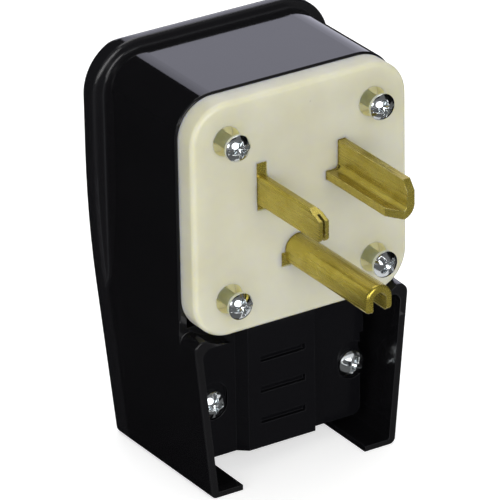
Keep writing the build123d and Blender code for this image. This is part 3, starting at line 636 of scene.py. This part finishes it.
def shank_rows(radius, length, plain):
    """The shank's skin below the head, in mm: plain, then a ridge that turns once for each THREAD_PITCH.

    The radius is less by up to THREAD_DEPTH where a wave of depth and turn is low, and it narrows over
    the point.
    """
    around = 2 * math.pi * np.arange(SHANK_AROUND) / SHANK_AROUND
    threaded = max(length - plain, LEAST_THREAD)
    steps = int(threaded / THREAD_PITCH * STEPS_PER_TURN)
    depth = np.concatenate(([-SHANK_IN_HEAD, NECK, plain * 0.5], np.linspace(plain, length, steps)))
    down, angle = np.meshgrid(depth, around, indexing="ij")
    turn = down / THREAD_PITCH - angle / (2 * math.pi)
    ridge = 1 - np.abs(2 * (turn % 1) - 1)
    low_between = 1 - smooth_step(ridge * RIDGE_FULLNESS)
    cut = THREAD_DEPTH * low_between * smooth_step((down - plain) / THREAD_PITCH)
    narrowing = POINT_NARROWING * np.clip((down - length + POINT_LENGTH) / POINT_LENGTH, 0, 1)
    reach = radius - np.maximum(cut, narrowing)
    rows = np.stack((reach * np.cos(angle), reach * np.sin(angle), -down), axis=-1)
    return rows, (0, 0, SHANK_IN_HEAD), (0, 0, -length)


def screw(node_name, head_height, shank_diameter, plain, slot_angle, outward):
    """A screw in the place of its node, turned about the node's axis, with its slot at an angle.

    Sizes are in mm. The head points to -Y where outward is -1, and to +Y where it is 1.
    """
    low, high = (np.array(corner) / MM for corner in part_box(node_name))
    middle_x, middle_z = (low[0] + high[0]) / 2, (low[2] + high[2]) / 2
    head_radius = (high[0] - low[0]) / 2
    length = high[1] - low[1] - head_height
    seat_y = low[1] + head_height if outward < 0 else high[1] - head_height
    slot = np.array((math.cos(slot_angle), 0, math.sin(slot_angle)))
    axis = np.array((0, outward, 0))
    turn = np.stack((slot, np.cross(axis, slot), axis))
    seat = np.array((middle_x, seat_y, middle_z))
    points, quads, fans, count = [], [], [], 0
    for shell in (head_rows(head_radius, head_height, shank_diameter / 2),
                  shank_rows(shank_diameter / 2, length, plain)):
        shell_points, shell_quads, shell_fans = turned_shell(*shell)
        points.append(shell_points @ turn + seat)
        quads.append(shell_quads + count)
        fans.append(shell_fans + count)
        count += len(shell_points)
    mesh = bpy.data.meshes.new(node_name + "_turned")
    faces = np.concatenate(quads).tolist() + np.concatenate(fans).tolist()
    mesh.from_pydata((np.concatenate(points) * MM).tolist(), [], faces)
    mesh.polygons.foreach_set("use_smooth", np.ones(len(faces), bool))
    mesh.materials.append(screw_zinc)
    mesh.materials.append(shank_zinc)
    on_shank = np.concatenate([np.full(len(part), kind) for part, kind in zip(quads + fans, (0, 1, 0, 1))])
    mesh.polygons.foreach_set("material_index", on_shank)
    piece = bpy.data.objects.new(node_name + "_turned", mesh)
    bpy.context.scene.collection.objects.link(piece)
    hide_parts(node_name)
    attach(piece, "root")


screw_zinc = bright_zinc("screw_zinc", HEAD_ZINC_DARK, HEAD_ZINC_LIGHT, smoothest=0.08, roughest=0.18)
shank_zinc = bright_zinc("shank_zinc", SHANK_ZINC_DARK, SHANK_ZINC_LIGHT, smoothest=0.3, roughest=0.5)
corners = ("upper_left", "upper_right", "lower_left", "lower_right")
for corner, slot_angle in zip(corners, (4, 0, 3, -54)):
    screw(f"assembly_screw_{corner}", head_height=2.5, shank_diameter=3.5, plain=9.0,
          slot_angle=math.radians(slot_angle), outward=-1)
for side, slot_angle in (("left", 88), ("right", -29)):
    screw(f"clamp_screw_{side}", head_height=2.4, shank_diameter=3.5, plain=4.0,
          slot_angle=math.radians(slot_angle), outward=-1)
for terminal, slot_angle in (("straight", 20), ("l", 75), ("ground", 140)):
    screw(f"terminal_screw_{terminal}", head_height=2.4, shank_diameter=4.0, plain=1.0,
          slot_angle=math.radians(slot_angle), outward=1)

# Threaded inserts: turned brass sleeves, pressed into the housing's posts for the screws.
# They are out of sight, and have a plain clean brass with fine rings from the lathe.

INSERT_DARK, INSERT_LIGHT = (0.58, 0.44, 0.2), (0.72, 0.56, 0.28)
TURNING_SCALE = (120, 5000, 120)
TURNING_MARKS = 0.008 * MM


def turned_brass():
    """Clean brass in two close tones, with fine rings round its axis, which is Y."""
    material = bpy.data.materials.new("insert_brass")
    tree, shader, _ = nodes_of(material)
    rings = noise(tree, object_coordinates(tree, TURNING_SCALE), detail=3, roughness=0.5)
    base = blend_colours(tree, rings, INSERT_DARK, INSERT_LIGHT)
    tree.links.new(base, shader.inputs["Base Color"])
    shader.inputs["Metallic"].default_value = 1.0
    shader.inputs["Roughness"].default_value = 0.3
    bump(tree, shader, rings, TURNING_MARKS)
    return material


insert_brass = turned_brass()
insert_nodes = [f"assembly_insert_{corner}" for corner in corners]
insert_nodes += ["clamp_insert_left", "clamp_insert_right"]
for node_name in insert_nodes:
    dress(node_name, insert_brass)

# Pressure plates: small squares, pressed from steel sheet, one under each terminal screw.
# They are out of sight in the plug, and are there to press on the bare ends of the wires.

STEEL_DARK, STEEL_LIGHT = (0.42, 0.42, 0.42), (0.6, 0.6, 0.59)
SHEET_GRAIN_SCALE = (3000, 3000, 200)
SHEET_GRAIN = 0.006 * MM


def pressed_steel():
    """Plain steel sheet in two greys, with its rolling grain drawn out along Z."""
    material = bpy.data.materials.new("pressure_steel")
    tree, shader, _ = nodes_of(material)
    grain = noise(tree, object_coordinates(tree, SHEET_GRAIN_SCALE), detail=4, roughness=0.6)
    base = blend_colours(tree, grain, STEEL_DARK, STEEL_LIGHT)
    tree.links.new(base, shader.inputs["Base Color"])
    shader.inputs["Metallic"].default_value = 1.0
    shader.inputs["Roughness"].default_value = 0.38
    bump(tree, shader, grain, SHEET_GRAIN)
    return material


plate_steel = pressed_steel()
for terminal in ("straight", "l", "ground"):
    dress(f"pressure_plate_{terminal}", plate_steel)
